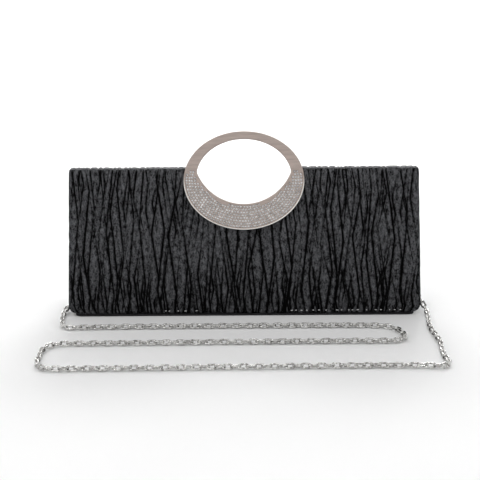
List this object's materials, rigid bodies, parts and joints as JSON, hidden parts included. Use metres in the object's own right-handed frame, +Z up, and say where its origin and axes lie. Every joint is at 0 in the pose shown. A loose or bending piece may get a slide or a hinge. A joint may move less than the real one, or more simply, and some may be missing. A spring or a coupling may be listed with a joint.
{
  "type": "evening clutch bag",
  "caption": "Pleated satin evening clutch: full front flap, oval crystal-set ring handle through a notch, and a detachable metal chain strap.",
  "frame": {"origin": "middle of the bag's footprint, on the surface it stands on", "axes": "+X along the bag's width, +Y from the flap to the back, +Z up"},
  "size_m": [0.2827, 0.172, 0.139],
  "materials": {
    "pleated_satin": "black crinkle-pleated satin",
    "plain_satin": "plain black satin",
    "lining_satin": "smooth black lining satin",
    "card": "dense grey card",
    "magnet": "nickel plated",
    "champagne_metal": "brushed champagne plate over zinc casting",
    "crystal": "clear faceted crystal, foil back",
    "steel": "zinc plated steel",
    "bright_metal": "polished nickel",
    "chain_metal": "polished silver colour"
  },
  "bodies": {
    "root": {"base_cover": "plain_satin", "base_board": "card", "base_lining": "lining_satin", "back_cover": "pleated_satin", "back_board": "card", "back_lining": "lining_satin", "back_binding": "plain_satin", "slip_pocket": "lining_satin", "front_cover": "plain_satin", "front_board": "card", "front_lining": "lining_satin", "front_magnet": "magnet", "chain": "chain_metal", "gusset_left": "plain_satin", "loop_left": "plain_satin", "d_ring_left": "bright_metal", "clasp_left": "bright_metal", "gate_pin_left": "bright_metal", "gate_spring_left": "bright_metal", "gusset_right": "plain_satin", "loop_right": "plain_satin", "d_ring_right": "bright_metal", "clasp_right": "bright_metal", "gate_pin_right": "bright_metal", "gate_spring_right": "bright_metal"},
    "flap": {"flap_cover": "pleated_satin", "flap_board": "card", "spine_board_left": "card", "spine_board_right": "card", "flap_lining": "lining_satin", "flap_binding": "plain_satin", "flap_magnet": "magnet", "ring_frame": "champagne_metal", "pave_plate": "champagne_metal", "crystals": "crystal", "ring_plate_left": "steel", "ring_plate_right": "steel", "ring_screws": "steel"},
    "gate_left": {"gate_left": "bright_metal"},
    "swivel_left": {"swivel_left": "bright_metal"},
    "gate_right": {"gate_right": "bright_metal"},
    "swivel_right": {"swivel_right": "bright_metal"}
  },
  "joints": [
    {"name": "flap_hinge", "type": "hinge", "parent": "root", "child": "flap", "pos_m": [0, 0.006, 0.111], "axis": [-1, 0, 0], "range_deg": [0, 180]},
    {"name": "gate_left_hinge", "type": "hinge", "parent": "root", "child": "gate_left", "pos_m": [-0.1292, 0, 0.07627], "axis": [0, 1, 0], "range_deg": [0, 25], "stiffness_Nm_per_rad": 0.01, "springref_deg": -17.19},
    {"name": "swivel_left_spin", "type": "hinge", "parent": "root", "child": "swivel_left", "pos_m": [-0.1265, 0, 0.05722], "axis": [0, 0, 1], "continuous": true},
    {"name": "gate_right_hinge", "type": "hinge", "parent": "root", "child": "gate_right", "pos_m": [0.1292, 0, 0.07627], "axis": [0, -1, 0], "range_deg": [0, 25], "stiffness_Nm_per_rad": 0.01, "springref_deg": -17.19},
    {"name": "swivel_right_spin", "type": "hinge", "parent": "root", "child": "swivel_right", "pos_m": [0.1265, 0, 0.05722], "axis": [0, 0, 1], "continuous": true}
  ]
}
